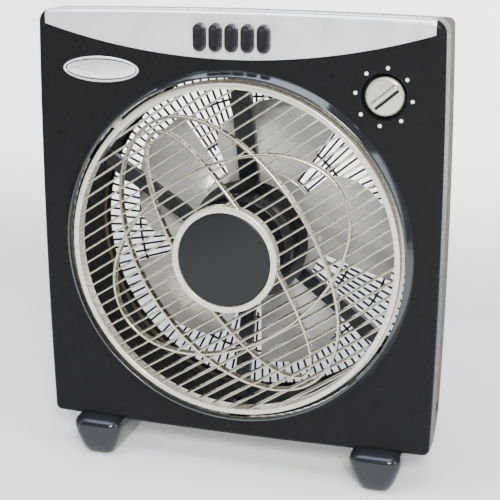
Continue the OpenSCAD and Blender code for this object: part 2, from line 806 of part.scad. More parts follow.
module housing_screws()
    color("#8a8a8e") for (p = corner_screws) screw(p, 52.2, 20, 3.8, 1.6);

module bracket_screws()
    color("#8a8a8e") {
        for (p = arm_ends) screw(p, tab_d + tab_t + 2.2, 21, 3.8, 1.6);
        for (a = [30, 150, 270]) screw(polar(bracket_screw_way, a), plate_d + 2.2, 54.5, 3.6, 1.9);
    }

module small_screws()
    color("#8a8a8e") {
        for (p = switch_posts) screw(p, 27.2, 15, 3, 1.25);
        for (p = louvre_posts) screw(p, 25.7, 15, 3, 1.25);
        for (a = guard_screw_angles) slab(back_d - 8, back_d, polar(guard_screw_way, a)) circle(1.4);
    }

// --- One part at a time -----------------------------------------------------------------------

front_housing();
control_panel();
badge();
dial_marks();
switch_block();
button_springs();
button_off();
button_low();
button_medium();
button_high();
button_louvre();
timer_knob();
timer_shaft();
timer_case();
timer_nut();
louvre_grille();
hub_cap();
guide_roller_1();
guide_roller_2();
guide_roller_3();
drive_roller();
drive_shaft();
roller_pins();
louvre_motor();
fan_blades();
fan_hub();
fan_nut();
motor_shaft();
rotor();
stator();
motor_windings();
motor_front_shield();
motor_rear_shield();
motor_bushes();
motor_bracket();
capacitor();
rear_housing();
rear_guard();
cord_gland();
foot_left();
foot_right();
foot_pads();
foot_screws();
housing_screws();
bracket_screws();
small_screws();
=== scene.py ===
"""Looks of the box fan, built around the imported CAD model.

Pieces are drawn in millimetres in the front view: x to the right, y up from the fan axis, and f
towards the viewer from the front edge of the grille rim. pt() turns that into the frame in metres.
"""
import json
import math

import bmesh
import bpy
import numpy as np
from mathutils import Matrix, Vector
from mathutils.geometry import delaunay_2d_cdt


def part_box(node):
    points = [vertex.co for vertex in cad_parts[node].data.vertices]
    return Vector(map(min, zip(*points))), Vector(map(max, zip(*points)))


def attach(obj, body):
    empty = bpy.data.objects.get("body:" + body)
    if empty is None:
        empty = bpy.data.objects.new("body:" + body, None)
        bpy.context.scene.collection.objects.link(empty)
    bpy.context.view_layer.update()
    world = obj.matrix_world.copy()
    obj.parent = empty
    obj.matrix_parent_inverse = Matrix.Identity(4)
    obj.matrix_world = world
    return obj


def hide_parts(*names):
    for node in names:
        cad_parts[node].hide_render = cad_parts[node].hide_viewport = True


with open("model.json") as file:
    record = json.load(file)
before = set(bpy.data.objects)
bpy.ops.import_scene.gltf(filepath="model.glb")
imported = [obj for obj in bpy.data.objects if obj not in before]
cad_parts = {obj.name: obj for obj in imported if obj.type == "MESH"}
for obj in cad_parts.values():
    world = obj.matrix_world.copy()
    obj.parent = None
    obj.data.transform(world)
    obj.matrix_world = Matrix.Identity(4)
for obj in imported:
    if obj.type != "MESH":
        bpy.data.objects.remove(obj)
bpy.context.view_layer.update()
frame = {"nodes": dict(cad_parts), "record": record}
MM = 0.001

# --- Positions that come from the CAD model ---------------------------------------------------
grille_lo, grille_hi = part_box("louvre_grille")
shell_lo, shell_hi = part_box("front_housing")
rear_lo, rear_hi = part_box("rear_housing")
FLANGE_BACK = 13.4          # back of the grille's flange, behind the front edge of its rim
AXIS_Z = (grille_lo.z + grille_hi.z) / 2
RIM_Y = grille_hi.y - FLANGE_BACK * MM
FOOT_H = shell_lo.z / MM
HALF_W = shell_hi.x / MM
BOTTOM = (shell_lo.z - AXIS_Z) / MM
TOP = (shell_hi.z - AXIS_Z) / MM
BACK = -(rear_hi.y - RIM_Y) / MM
CROWN = -(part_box("hub_cap")[0].y - RIM_Y) / MM


def pt(x, y, f):
    """A point of the front view, in the frame and in metres."""
    return (x * MM, RIM_Y - f * MM, AXIS_Z + y * MM)


def polar(r, degrees):
    return (r * math.cos(math.radians(degrees)), r * math.sin(math.radians(degrees)))


def turn(x, y, degrees):
    """The point (x, y) turned about the fan axis."""
    c, s = math.cos(math.radians(degrees)), math.sin(math.radians(degrees))
    return (x * c - y * s, x * s + y * c)


# --- Mesh helpers -----------------------------------------------------------------------------
class Shape:
    """Vertices and faces of one piece, collected surface by surface."""

    def __init__(self):
        self.verts, self.faces = [], []

    def add(self, points):
        start = len(self.verts)
        self.verts += [pt(*p) for p in points]
        return start

    def loft(self, rings, closed=True, caps=False, loop=False):
        """Joins rings of equally many points. closed joins each ring's ends, loop the first ring
        and the last, and caps covers the first and the last."""
        n = len(rings[0])
        starts = [self.add(r) for r in rings]
        pairs = list(zip(starts, starts[1:])) + ([(starts[-1], starts[0])] if loop else [])
        for a, b in pairs:
            for k in range(n if closed else n - 1):
                k2 = (k + 1) % n
                self.faces.append((a + k, a + k2, b + k2, b + k))
        if caps:
            self.faces.append(tuple(range(starts[0] + n - 1, starts[0] - 1, -1)))
            self.faces.append(tuple(range(starts[-1], starts[-1] + n)))
        return self

    def lathe(self, profile, n=128, at=(0, 0), loop=False):
        """Turns a profile of (radius, f) points about an axis that runs front to back."""
        angles = [360 * k / n for k in range(n)]
        rings = [[(at[0] + polar(r, a)[0], at[1] + polar(r, a)[1], f) for a in angles]
                 for r, f in profile]
        return self.loft(rings, loop=loop)

    def plate(self, outer, holes, f):
        """A flat face at depth f, bounded by one loop and pierced by the others."""
        loops = [outer] + holes
        verts, edges = [], []
        for loop in loops:
            s = len(verts)
            verts += [Vector(p) for p in loop]
            edges += [(s + k, s + (k + 1) % len(loop)) for k in range(len(loop))]
        out, _, tris, _, _, _ = delaunay_2d_cdt(verts, edges, [], 0, 1e-5)
        start = self.add([(v.x, v.y, f) for v in out])
        for t in tris:
            c = sum((out[i] for i in t), Vector((0, 0))) / 3
            if inside(c, outer) and not any(inside(c, h) for h in holes):
                self.faces.append(tuple(start + i for i in t))
        return self


def inside(p, loop):
    """Whether a point lies within a closed loop: it crosses the loop an odd number of times."""
    hit, q = False, loop[-1]
    for r in loop:
        if (r[1] > p[1]) != (q[1] > p[1]):
            if p[0] < (q[0] - r[0]) * (p[1] - r[1]) / (q[1] - r[1]) + r[0]:
                hit = not hit
        q = r
    return hit


def fillet(points, radius, steps=4, closed=False):
    """Rounds the corners of a profile. radius is one number, or one for each corner."""
    out, n = [], len(points)
    for i, p in enumerate(points):
        r = radius[i] if isinstance(radius, (list, tuple)) else radius
        if r == 0 or (not closed and i in (0, n - 1)):
            out.append(tuple(p))
            continue
        a, b, c = (np.array(q, float) for q in (points[i - 1], p, points[(i + 1) % n]))
        la, lc = np.linalg.norm(a - b), np.linalg.norm(c - b)
        t = min(r, 0.48 * la, 0.48 * lc)
        p0, p1 = b + (a - b) / la * t, b + (c - b) / lc * t
        for s in np.linspace(0, 1, steps + 1):
            out.append(tuple((1 - s) ** 2 * p0 + 2 * s * (1 - s) * b + s * s * p1))
    return out


def circle(r, n=96, at=(0, 0)):
    return [(at[0] + polar(r, 360 * k / n)[0], at[1] + polar(r, 360 * k / n)[1]) for k in range(n)]


def pill(w, l, at, n=16):
    """An upright slot with round ends, w wide and l long."""
    loop = []
    for side in (1, -1):
        for k in range(n + 1):
            x, y = polar(w / 2, 180 * k / n)
            loop.append((at[0] + side * x, at[1] + side * (y + (l - w) / 2)))
    return loop


def ring(loop, f):
    return [(x, y, f) for x, y in loop]


def piece(name, shape, material, body, nodes, sharp=38):
    """Turns a Shape into an object that rides a body and replaces CAD nodes."""
    mesh = bpy.data.meshes.new(name)
    mesh.from_pydata(shape.verts, [], shape.faces)
    bm = bmesh.new()
    bm.from_mesh(mesh)
    bmesh.ops.remove_doubles(bm, verts=bm.verts, dist=2e-6)
    bmesh.ops.recalc_face_normals(bm, faces=bm.faces)
    bm.to_mesh(mesh)
    bm.free()
    return place(name, mesh, material, body, nodes, sharp)


def place(name, mesh, material, body, nodes, sharp):
    """Smooth shading with edges sharper than the angle kept, material, body, nodes and slot."""
    mesh.polygons.foreach_set("use_smooth", [True] * len(mesh.polygons))
    mesh.set_sharp_from_angle(angle=math.radians(sharp))
    mesh.materials.clear()
    mesh.materials.append(material)
    obj = bpy.data.objects.new(name, mesh)
    bpy.context.scene.collection.objects.link(obj)
    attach(obj, body)
    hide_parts(*nodes)
    return obj


def weighted(obj):
    m = obj.modifiers.new("normals", "WEIGHTED_NORMAL")
    m.keep_sharp = True
    return obj


def softened(node, material, body, width, sharp=32):
    """A copy of a CAD node with its edges eased, which stands for it."""
    mesh = frame["nodes"][node].data.copy()
    bm = bmesh.new()
    bm.from_mesh(mesh)
    bmesh.ops.remove_doubles(bm, verts=bm.verts, dist=5e-6)
    bmesh.ops.dissolve_limit(bm, angle_limit=math.radians(0.6), verts=bm.verts, edges=bm.edges)
    bm.to_mesh(mesh)
    bm.free()
    obj = place(node + "_eased", mesh, material, body, [node], sharp)
    m = obj.modifiers.new("edges", "BEVEL")
    m.width, m.segments, m.limit_method = width * MM, 2, "ANGLE"
    m.angle_limit = math.radians(sharp)
    m.use_clamp_overlap = True
    return weighted(obj)


# --- Materials --------------------------------------------------------------------------------
MIX_A, MIX_B, MIX_OUT = 6, 7, 2         # colour sockets of the mix node
FLAKE_SCALE = 3200
GRAIN_HEIGHT = 0.0004


def finish(name, color, rough, metallic=0.0, coat=0.0, grain=2600, grain_bump=0.03,
           mottle=0.06, flake=0.0, sheen_scale=90, gloss=0.5, slot=None):
    """A moulded or painted surface: fine grain, broad mottling and metal flakes."""
    mat = bpy.data.materials.new(name)
    mat["slot"] = slot or name
    mat.use_nodes = True
    nodes, links = mat.node_tree.nodes, mat.node_tree.links
    bsdf = nodes["Principled BSDF"]
    bsdf.inputs["Metallic"].default_value = metallic
    bsdf.inputs["Coat Weight"].default_value = coat
    bsdf.inputs["Coat Roughness"].default_value = 0.08
    bsdf.inputs["Specular IOR Level"].default_value = gloss
    coords = nodes.new("ShaderNodeTexCoord")

    def noise(scale, detail):
        n = nodes.new("ShaderNodeTexNoise")
        n.inputs["Scale"].default_value = scale
        n.inputs["Detail"].default_value = detail
        links.new(coords.outputs["Object"], n.inputs["Vector"])
        return n.outputs["Fac"]

    def remap(value, lo, hi, a=0.3, b=0.7):
        m = nodes.new("ShaderNodeMapRange")
        for key, v in (("From Min", a), ("From Max", b), ("To Min", lo), ("To Max", hi)):
            m.inputs[key].default_value = v
        links.new(value, m.inputs["Value"])
        return m.outputs["Result"]

    def mix(factor, first, second):
        m = nodes.new("ShaderNodeMix")
        m.data_type = "RGBA"
        links.new(factor, m.inputs["Factor"])
        for key, v in ((MIX_A, first), (MIX_B, second)):
            if isinstance(v, tuple):
                m.inputs[key].default_value = v
            else:
                links.new(v, m.inputs[key])
        return m.outputs[MIX_OUT]

    def tone(k):
        return tuple(min(1, c * k) for c in color) + (1,)

    base = mix(remap(noise(sheen_scale, 5), 0, 1), tone(1 - mottle), tone(1 + mottle))
    if flake:
        cells = nodes.new("ShaderNodeTexVoronoi")
        cells.inputs["Scale"].default_value = FLAKE_SCALE
        links.new(coords.outputs["Object"], cells.inputs["Vector"])
        base = mix(remap(cells.outputs["Distance"], flake, 0, 0.1, 0.6), base, tone(1.35))
    links.new(base, bsdf.inputs["Base Color"])
    links.new(remap(noise(sheen_scale * 2.3, 6), rough * 0.8, rough * 1.25), bsdf.inputs["Roughness"])
    bump = nodes.new("ShaderNodeBump")
    bump.inputs["Strength"].default_value = grain_bump
    bump.inputs["Distance"].default_value = GRAIN_HEIGHT
    links.new(noise(grain, 3), bump.inputs["Height"])
    links.new(bump.outputs["Normal"], bsdf.inputs["Normal"])
    return mat


# One finish for each material slot of the CAD model
M = {
    "gloss_black": finish("gloss_black", (0.0085, 0.0088, 0.0095), 0.3, gloss=0.07, mottle=0.1),
    "satin_silver": finish("satin_silver", (0.88, 0.87, 0.84), 0.3, 0.6, grain=5200,
                           grain_bump=0.02, mottle=0.03, sheen_scale=14),
    "print_white": finish("print_white", (0.80, 0.80, 0.78), 0.5),
    "switch_red": finish("switch_red", (0.36, 0.08, 0.05), 0.5),
    "steel": finish("steel", (0.55, 0.55, 0.56), 0.32, 1.0, grain=1200, grain_bump=0.08),
    "button_black": finish("button_black", (0.009, 0.009, 0.011), 0.2, gloss=0.4),
    "champagne": finish("champagne", (0.66, 0.61, 0.50), 0.24, 0.55, grain=4200, mottle=0.04),
    "cream": finish("cream", (0.70, 0.66, 0.54), 0.45),
    "satin_black": finish("satin_black", (0.010, 0.011, 0.0125), 0.38, grain_bump=0.10, gloss=0.25),
    "rubber": finish("rubber", (0.022, 0.022, 0.022), 0.75, grain_bump=0.2),
    "blade_grey": finish("blade_grey", (0.60, 0.59, 0.565), 0.2, 0.35, coat=0.5, mottle=0.04),
    "core_steel": finish("core_steel", (0.38, 0.38, 0.39), 0.45, 1.0, grain=2000, grain_bump=0.2),
    "copper": finish("copper", (0.62, 0.30, 0.14), 0.35, 1.0, grain=1500, grain_bump=0.25),
    "motor_black": finish("motor_black", (0.008, 0.010, 0.014), 0.3, grain_bump=0.08, gloss=0.45),
    "bronze": finish("bronze", (0.55, 0.40, 0.20), 0.4, 1.0),
    "rear_champagne": finish("rear_champagne", (0.115, 0.10, 0.068), 0.6, flake=0.3,
                             grain=3800, gloss=0.03),
}
# Variants of those finishes for single pieces
polished_black = finish("polished_black", (0.010, 0.011, 0.013), 0.12, coat=0.8,
                        grain_bump=0.015, slot="gloss_black")
foot_black = finish("foot_black", (0.026, 0.028, 0.033), 0.22, 0.6, coat=0.2, grain_bump=0.02,
                    slot="gloss_black")
# Painted shade: a darker copy of the champagne finish for the grille's vanes, while the rims of the
# same grille keep the lighter one
shaded_vane_champagne = finish("shaded_vane_champagne", (0.52, 0.47, 0.36), 0.26, 0.95, grain=4200, mottle=0.04,
                        slot="champagne")
duct_black = finish("duct_black", (0.008, 0.008, 0.009), 0.7, grain_bump=0.12, gloss=0.06,
                    slot="gloss_black")
for entry in frame["record"]["subparts"]:
    node = frame["nodes"][entry["node"]]
    node.data.materials.clear()
    node.data.materials.append(M[entry["material_slot"]])

# --- Housing outline --------------------------------------------------------------------------
BOW = 3.0                               # how far each side bulges in its middle
UPPER_CORNER, LOWER_CORNER = 12.0, 6.0
LEAST_CORNER = 3.0
FACE = -7.0                             # front face of the shell
EDGE = 5.0                              # rounding of the shells' edges
WALL = 2.5
SPLIT = -35.0                           # where the front shell meets the rear shell
MID_Y = (TOP + BOTTOM) / 2
HALF_H = (TOP - BOTTOM) / 2
OPENING, COLLAR = 163.5, 170.5          # inner and outer radius of the collar


def outline(inset=0.0, arc=12, side=24):
    """The shells' outline in the front view: bulging sides and round corners."""
    a, b = HALF_W - BOW - inset, HALF_H - BOW - inset
    corners = []
    for q, (sx, sy) in enumerate(((1, 1), (-1, 1), (-1, -1), (1, -1))):
        r = max((UPPER_CORNER if q < 2 else LOWER_CORNER) - inset, LEAST_CORNER)
        corners.append([(sx * (a - r) + polar(r, 90 * (q + k / arc))[0],
                         sy * (b - r) + polar(r, 90 * (q + k / arc))[1]) for k in range(arc + 1)])
    loop = []
    for q in range(4):
        p, end = corners[q][-1], corners[(q + 1) % 4][0]
        loop += corners[q] + [(p[0] + (end[0] - p[0]) * k / side, p[1] + (end[1] - p[1]) * k / side)
                              for k in range(1, side)]
    return [(x * (1 + BOW / a * (1 - (y / b) ** 2)),
             y * (1 + BOW / b * (1 - (x / a) ** 2)) + MID_Y) for x, y in loop]


def edge_cuts(steps=8):
    """(inset, drop) of the steps of a rounded edge, from the flat face to the side wall."""
    angles = [math.radians(90 * k / steps) for k in range(steps + 1)]
    return [(EDGE * (1 - math.sin(a)), EDGE * (1 - math.cos(a))) for a in angles]


# --- Front shell ------------------------------------------------------------------------------
BUTTON_PITCH, BUTTON_W, BUTTON_L, BUTTON_Y = 15.0, 11.6, 25.0, 198.5
BUTTON_GAP = 0.8
KNOB = (138.5, 152.0)
DISH_R, DISH_EDGE, DISH_FLOOR = 20.6, 0.9, -15.5
COLLAR_FRONT = -0.5
DUCT_R, DUCT_FRONT, DUCT_BACK = 168.0, -17.5, -94.0
FACE_BACK = -10.6
LUG_WAY, LUG_ANGLES = 161.0, (90, 149.29, 330, 270)
LUG_PROFILE = [(8, -18), (8, -30), (1.6, -30), (1.6, -19)]
button_x = [k * BUTTON_PITCH for k in (-2, -1, 0, 1, 2)]
slots = [pill(BUTTON_W + BUTTON_GAP, BUTTON_L + BUTTON_GAP, (x, BUTTON_Y)) for x in button_x]

shell = Shape()
shell.plate(outline(EDGE), [circle(COLLAR, 192), circle(DISH_R + DISH_EDGE, 64, KNOB)] + slots, FACE)
shell.loft([ring(outline(inset), FACE - drop) for inset, drop in edge_cuts()]
           + [ring(outline(), SPLIT + 1.2), ring(outline(0.5), SPLIT + 0.5),
              ring(outline(WALL), SPLIT + 0.5), ring(outline(WALL), FACE - 8)])
collar = Shape()
collar.lathe(fillet([(COLLAR, FACE - 0.6), (COLLAR, FACE), (OPENING + 1.7, COLLAR_FRONT),
                     (OPENING, COLLAR_FRONT), (OPENING, FACE - WALL), (DUCT_R + 6, FACE - WALL)],
                    [0, 0.3, 1.3, 0.7, 0.7, 0], 6), 256)
piece("front_collar", collar, polished_black, "housing", ["front_housing"], sharp=50)
duct = Shape()
duct.lathe(fillet([(DUCT_R + WALL, DUCT_BACK), (DUCT_R, DUCT_BACK), (DUCT_R, DUCT_FRONT),
                   (DUCT_R + WALL, DUCT_FRONT), (DUCT_R + WALL, DUCT_BACK)], 0.6), 192)
piece("front_duct", duct, duct_black, "housing", ["front_housing"])
shell.lathe(fillet([(DISH_R + DISH_EDGE, FACE), (DISH_R, FACE - DISH_EDGE),
                    (DISH_R - 0.6, DISH_FLOOR), (6, DISH_FLOOR), (5.2, -18)], 1.1), 64, KNOB)
for loop in slots:
    shell.loft([ring(loop, FACE), ring(loop, FACE_BACK)])
for angle in LUG_ANGLES:
    shell.lathe(fillet(LUG_PROFILE, 0.6), 32, polar(LUG_WAY, angle))
weighted(piece("front_shell", shell, M["gloss_black"], "housing", ["front_housing"]))

# --- Control panel ----------------------------------------------------------------------------
PANEL_F = -5.8                          # front face of the panel
PANEL_LOW, PANEL_R, PANEL_W = 179.5, 620.0, 182.0
PANEL_WRAP = -20.0                      # back edge of the panel, over the top of the shell
PANEL_T = 1.9


def panel_low(x):
    """The panel's curved lower edge."""
    return PANEL_LOW + PANEL_R - math.sqrt(PANEL_R ** 2 - x * x)


def top_edge(x, inset):
    """The height of the outline's top at x."""
    top = sorted(p for p in outline(inset, 24, 60) if p[1] > MID_Y + HALF_H * 0.8)
    return float(np.interp(x, [p[0] for p in top], [p[1] for p in top]))


panel = Shape()
columns = np.linspace(-PANEL_W, PANEL_W, 121)
top_line = [(x, top_edge(x, EDGE)) for x in columns]
low_line = [(x, panel_low(x)) for x in columns]
border = low_line + top_line[::-1]
panel.plate(border, slots, PANEL_F)
rows = [[(x, top_edge(x, inset), PANEL_F - drop) for x in columns] for inset, drop in edge_cuts()]
rows.append([(x, top_edge(x, 0), PANEL_WRAP) for x in columns])
rows.append([(x, top_edge(x, 0) - 2, PANEL_WRAP) for x in columns])
panel.loft(rows, closed=False)
panel.loft([[(x, y - lower, f) for x, y in low_line]
            for lower, f in ((0, PANEL_F), (0.25, PANEL_F - 0.3), (0.25, FACE - 0.2))], closed=False)
for side in (-1, 1):
    x = side * PANEL_W
    end = 0 if side < 0 else -1
    edge = [(panel_low(x), PANEL_F)] + [(row[end][1], row[end][2]) for row in rows[:-1]]
    inner = [(y - (2 if f < PANEL_F - 0.01 else 0), max(f - 1.4, PANEL_WRAP)) for y, f in edge]
    panel.loft([[(x, y, f) for y, f in line] for line in (edge, inner)], closed=False)
for loop in slots:
    panel.loft([ring(loop, PANEL_F), ring(loop, PANEL_F - PANEL_T)])
weighted(piece("panel_skin", panel, M["satin_silver"], "housing", ["control_panel"]))

# --- Badge ------------------------------------------------------------------------------------
BADGE = (-127.6, 166.0)
# Half width, half height and rise above the face: the raised rim, the groove, the shallow dome
BADGE_LAYERS = ((37.6, 12, 0), (37.6, 12, 1.2), (37.1, 11.5, 1.75), (36.2, 10.6, 1.8),
                (35.6, 10.0, 1.5), (35.5, 9.9, 0.1), (34.3, 8.7, 0.1), (34.2, 8.6, 0.9),
                (33.4, 7.8, 1.25), (20, 4.5, 1.5), (2, 1, 1.55))
GROOVE_LAYERS = ((35.3, 9.7, 0.2), (35.3, 9.7, 0.55), (34.5, 8.9, 0.55), (34.5, 8.9, 0.2))


def oval_ring(a, b, rise, n=96):
    angles = [2 * math.pi * k / n for k in range(n)]
    return [(BADGE[0] + a * math.cos(t), BADGE[1] + b * math.sin(t), FACE + rise) for t in angles]


badge = Shape()
badge.loft([oval_ring(*layer) for layer in BADGE_LAYERS], caps=True)
piece("badge_plate", badge, M["satin_silver"], "housing", ["badge"])
groove = Shape()
groove.loft([oval_ring(*layer) for layer in GROOVE_LAYERS], loop=True)
piece("badge_groove", groove, duct_black, "housing", ["badge"])

# --- Push buttons -----------------------------------------------------------------------------
BUTTONS = ("button_off", "button_low", "button_medium", "button_high", "button_louvre")
# Change of width and of length, and f: the stop flange, then the straight sides
KEY_SIDES = ((0, 5, -13.2), (0, 5, -11.2), (0, 0, -11.2), (0, 0, -3.2))
KEY_TOP, KEY_ROUND, KEY_RISE = -3.2, 2.2, 2.6
KEY_HOLLOW = ((-6.4, -6.4, -0.75), (1 - BUTTON_W, -11, -0.95))
KEY_STEM = [(2.5, -13), (2.5, -29.6), (2.1, -30), (0.2, -30)]

for name, x in zip(BUTTONS, button_x):
    layers = list(KEY_SIDES)
    for k in range(1, 8):
        a = math.radians(90 * k / 7)
        cut = KEY_ROUND * (1 - math.cos(a))
        layers.append((-2 * cut, -2 * cut, KEY_TOP + KEY_RISE * math.sin(a)))
    layers += KEY_HOLLOW
    key = Shape()
    key.loft([ring(pill(BUTTON_W + dw, BUTTON_L + dl, (x, BUTTON_Y)), f) for dw, dl, f in layers],
             caps=True)
    key.lathe(KEY_STEM, 32, (x, BUTTON_Y))
    piece(name + "_key", key, M["button_black"], name, [name])

# --- Timer knob -------------------------------------------------------------------------------
FIN_ANGLE = 40
KNOB_PROFILE = [(0.1, -9), (14.6, -9), (15.6, -9.25), (17.3, -10.6), (17.3, -12.8), (2.1, -12.8)]
# f, width, length and shift along the fin, from its foot to its ridge
FIN_LAYERS = ((-9.1, 5.4, 31.6, 0.0), (-8.7, 4.6, 31.0, 0.0), (-7.0, 3.9, 30.2, 0.1),
              (-5.0, 3.4, 29.4, 0.2), (-4.3, 2.9, 28.9, 0.2), (-4.02, 2.0, 27.8, 0.2),
              (-4.0, 0.8, 26.4, 0.2))
# Side of the fin and width of the painted shadow beside it, a thin dark sheet on the knob's face
FIN_SHADOWS = ((-1, 2.4), (1, 0.7))
FIN_SHADOW_AT, FIN_SHADOW_L = 2.4, 27


def fin_ring(w, l, f, along=0.0, across=0.0):
    """A slot that lies along the fin of the knob."""
    loop = [turn(y + along, -x + across, FIN_ANGLE) for x, y in pill(w, l, (0, 0), 10)]
    return [(KNOB[0] + x, KNOB[1] + y, f) for x, y in loop]


knob = Shape()
knob.lathe(fillet(KNOB_PROFILE, [0, 0.3, 0.5, 0.6, 0.3, 0]), 96, KNOB)
knob.loft([fin_ring(w, l, f, shift) for f, w, l, shift in FIN_LAYERS], caps=True)
piece("knob_face", knob, M["champagne"], "timer", ["timer_knob"])
# Painted shadow: thin dark sheets lying just over the knob's face along both sides of the fin
fin_shadows = Shape()
for side, width in FIN_SHADOWS:
    across = side * (FIN_SHADOW_AT + width / 2)
    fin_shadows.loft([fin_ring(width, FIN_SHADOW_L, f, 0, across) for f in (-8.99, -8.9)], caps=True)
piece("knob_fin_shadows", fin_shadows, duct_black, "timer", ["timer_knob"])

# --- Louvre grille ----------------------------------------------------------------------------
RIM, BAND, FLANGE, FLANGE_FRONT = 159.0, 5.5, 161.3, 11.6
HUB_RING, CAP = 50.5, 44.0              # outer radii of the hub ring and of its cap
HUB_BACK, CAP_BACK = 9.0, 11.5
SLAT_PITCH, SLAT_T, SLAT_DEPTH, SLOPE = 10.55, 1.8, 9.0, 33.5
DOME_RIM, DOME_H, DOME_DROP = 156.0, 20.0, 0.8
SEAT = 1.5                              # how far the slats run into the rim and the hub ring
RIBS = ((84.6, 141.7), (38.7, 132.5), (125.5, 83.3))    # half axes of the elliptical ribs
RIB_W, RIB_RISE = 2.6, 0.5
dome_c = (DOME_RIM ** 2 - HUB_RING ** 2 - DOME_H ** 2) / (2 * DOME_H)
dome_r = math.hypot(DOME_RIM, dome_c)


def dome(x, y):
    """Height of the domed front of the grille: part of a sphere."""
    return math.sqrt(dome_r ** 2 - x * x - y * y) - dome_c - DOME_DROP


def tilted(x, y, f):
    """A point of the slats' own frame, in the front view."""
    return turn(x, y, SLOPE) + (f,)


grille = Shape()
section = fillet([(-SLAT_T / 2, -SLAT_DEPTH), (-SLAT_T / 2, 0), (SLAT_T / 2, 0),
                  (SLAT_T / 2, -SLAT_DEPTH)], 0.75, 3, closed=True)


def slat(h, x0, x1, stations=20):
    """One slat at height h that follows the dome from x0 to x1."""
    rings = []
    for k in range(stations + 1):
        x = x0 + (x1 - x0) * k / stations
        rings.append([tilted(x, h + dh, dome(x, h) + df) for dh, df in section])
    grille.loft(rings, caps=True)


last = int((DOME_RIM - 2) // SLAT_PITCH)
for k in range(-last, last + 1):
    h = k * SLAT_PITCH
    reach = math.sqrt((DOME_RIM - SEAT) ** 2 - h * h)
    if abs(h) < HUB_RING - SEAT:
        start = math.sqrt((HUB_RING - SEAT) ** 2 - h * h)
        slat(h, start, reach)
        slat(h, -reach, -start)
    else:
        slat(h, -reach, reach, 36)

rib_section = fillet([(RIB_W / 2, 1 - SLAT_DEPTH), (RIB_W / 2, RIB_RISE), (-RIB_W / 2, RIB_RISE),
                      (-RIB_W / 2, 1 - SLAT_DEPTH)], 0.9, 3, closed=True)


def rib_ring(a, b, angle):
    """The rib's section at one angle of its ellipse."""
    c, s = polar(1, angle)
    return [tilted((a + w) * c, (b + w) * s, dome((a + w) * c, (b + w) * s) + f)
            for w, f in rib_section]


for a, b in RIBS:
    if a > HUB_RING:
        grille.loft([rib_ring(a, b, 2.5 * k) for k in range(144)], loop=True)
        continue
    # a rib narrower than the hub ring ends in it, so it has an upper and a lower half
    first = math.degrees(math.asin(math.sqrt(((HUB_RING - SEAT) ** 2 - a * a) / (b * b - a * a))))
    for half in (0, 180):
        grille.loft([rib_ring(a, b, half + first + (180 - 2 * first) * k / 64) for k in range(65)],
                    caps=True)
# The vanes wear the darker champagne copy, painted shade between the slats
piece("grille_vanes", grille, shaded_vane_champagne, "grille", ["louvre_grille"])

rims = Shape()
rims.lathe(fillet([(RIM - BAND, -FLANGE_BACK), (RIM - BAND, 0), (RIM, 0), (RIM, -FLANGE_FRONT),
                   (FLANGE, -FLANGE_FRONT), (FLANGE, -FLANGE_BACK)],
                  [0.3, 1.2, 1.6, 0, 0.4, 0.4], closed=True), 256, loop=True)
rims.lathe(fillet([(0.1, HUB_BACK), (HUB_RING, HUB_BACK), (HUB_RING, DOME_H + 1),
                   (CAP + 0.5, DOME_H + 1), (CAP + 0.5, CAP_BACK), (0.1, CAP_BACK)],
                  [0, 0.6, 1.5, 1.0, 0, 0]), 160)
piece("grille_rims", rims, M["champagne"], "grille", ["louvre_grille"])

CAP_RISE = 3                            # height of the cap's crown over its edge
cap = Shape()
crown_profile = [(CAP * k / 16, CROWN - CAP_RISE * (k / 16) ** 2) for k in range(1, 16)]
cap.lathe([(0.1, CROWN)] + crown_profile
          + fillet([crown_profile[-1], (CAP, CROWN - CAP_RISE), (CAP, CAP_BACK), (0.1, CAP_BACK)],
                   [0, 1.2, 0, 0]), 128)
piece("cap_crown", cap, M["satin_black"], "grille", ["hub_cap"])

# --- Blades -----------------------------------------------------------------------------------
BLADES, BLADE_START = 5, 54.5           # angle of the first blade's clockwise edge
SPAN, TIP_SPAN = 58.0, 24.0             # angles that a blade covers near its root and at its tip
TIP_R, ROOT_R, FULL_R = 138.0, 42.0, 90.0
BLADE_F, TWIST, BLADE_T = -71.0, 25.0, 2.0
CAMBER = 2.0
STATIONS, CHORD_STEPS = 28, 24
DISC_PROFILE = [(42, -86), (64, -86), (66, -88), (66, -90), (63, -88), (42, -88)]


def blade_width(r):
    """The angle that a blade covers at a radius."""
    return SPAN - (SPAN - TIP_SPAN) * (max(r - FULL_R, 0) / (TIP_R - FULL_R)) ** 2.2


fan = Shape()
for b in range(BLADES):
    grid = []
    for i in range(STATIONS + 1):
        r = ROOT_R + (TIP_R - ROOT_R) * i / STATIONS
        width = blade_width(r)
        row = []
        for j in range(CHORD_STEPS + 1):
            v = j / CHORD_STEPS
            f = BLADE_F - TWIST * (1 - width * v / SPAN) + CAMBER * math.sin(math.pi * v)
            row.append(polar(r, BLADE_START + 360 / BLADES * b + width * v) + (f,))
        grid.append(row)
    rim = (grid[0] + [row[-1] for row in grid[1:]] + grid[-1][-2::-1]
           + [row[0] for row in grid[-2:0:-1]])
    fan.loft(grid, closed=False)
    fan.loft([[(x, y, f - BLADE_T) for x, y, f in row] for row in grid], closed=False)
    fan.loft([rim, [(x, y, f - BLADE_T) for x, y, f in rim]])
fan.lathe(fillet(DISC_PROFILE, [0, 1.2, 0.8, 0.4, 1, 0]), 128, loop=True)
blades = piece("blade_set", fan, M["blade_grey"], "fan", ["fan_blades"])
edge = blades.modifiers.new("edges", "BEVEL")
edge.width, edge.segments, edge.limit_method = 0.6 * MM, 2, "ANGLE"
edge.angle_limit = math.radians(50)
weighted(blades)

# --- Motor and bracket ------------------------------------------------------------------------
softened("motor_bracket", M["motor_black"], "housing", 0.5)
softened("motor_front_shield", M["motor_black"], "housing", 0.6)
softened("motor_rear_shield", M["motor_black"], "housing", 0.6)
softened("fan_hub", M["satin_black"], "fan", 0.6)

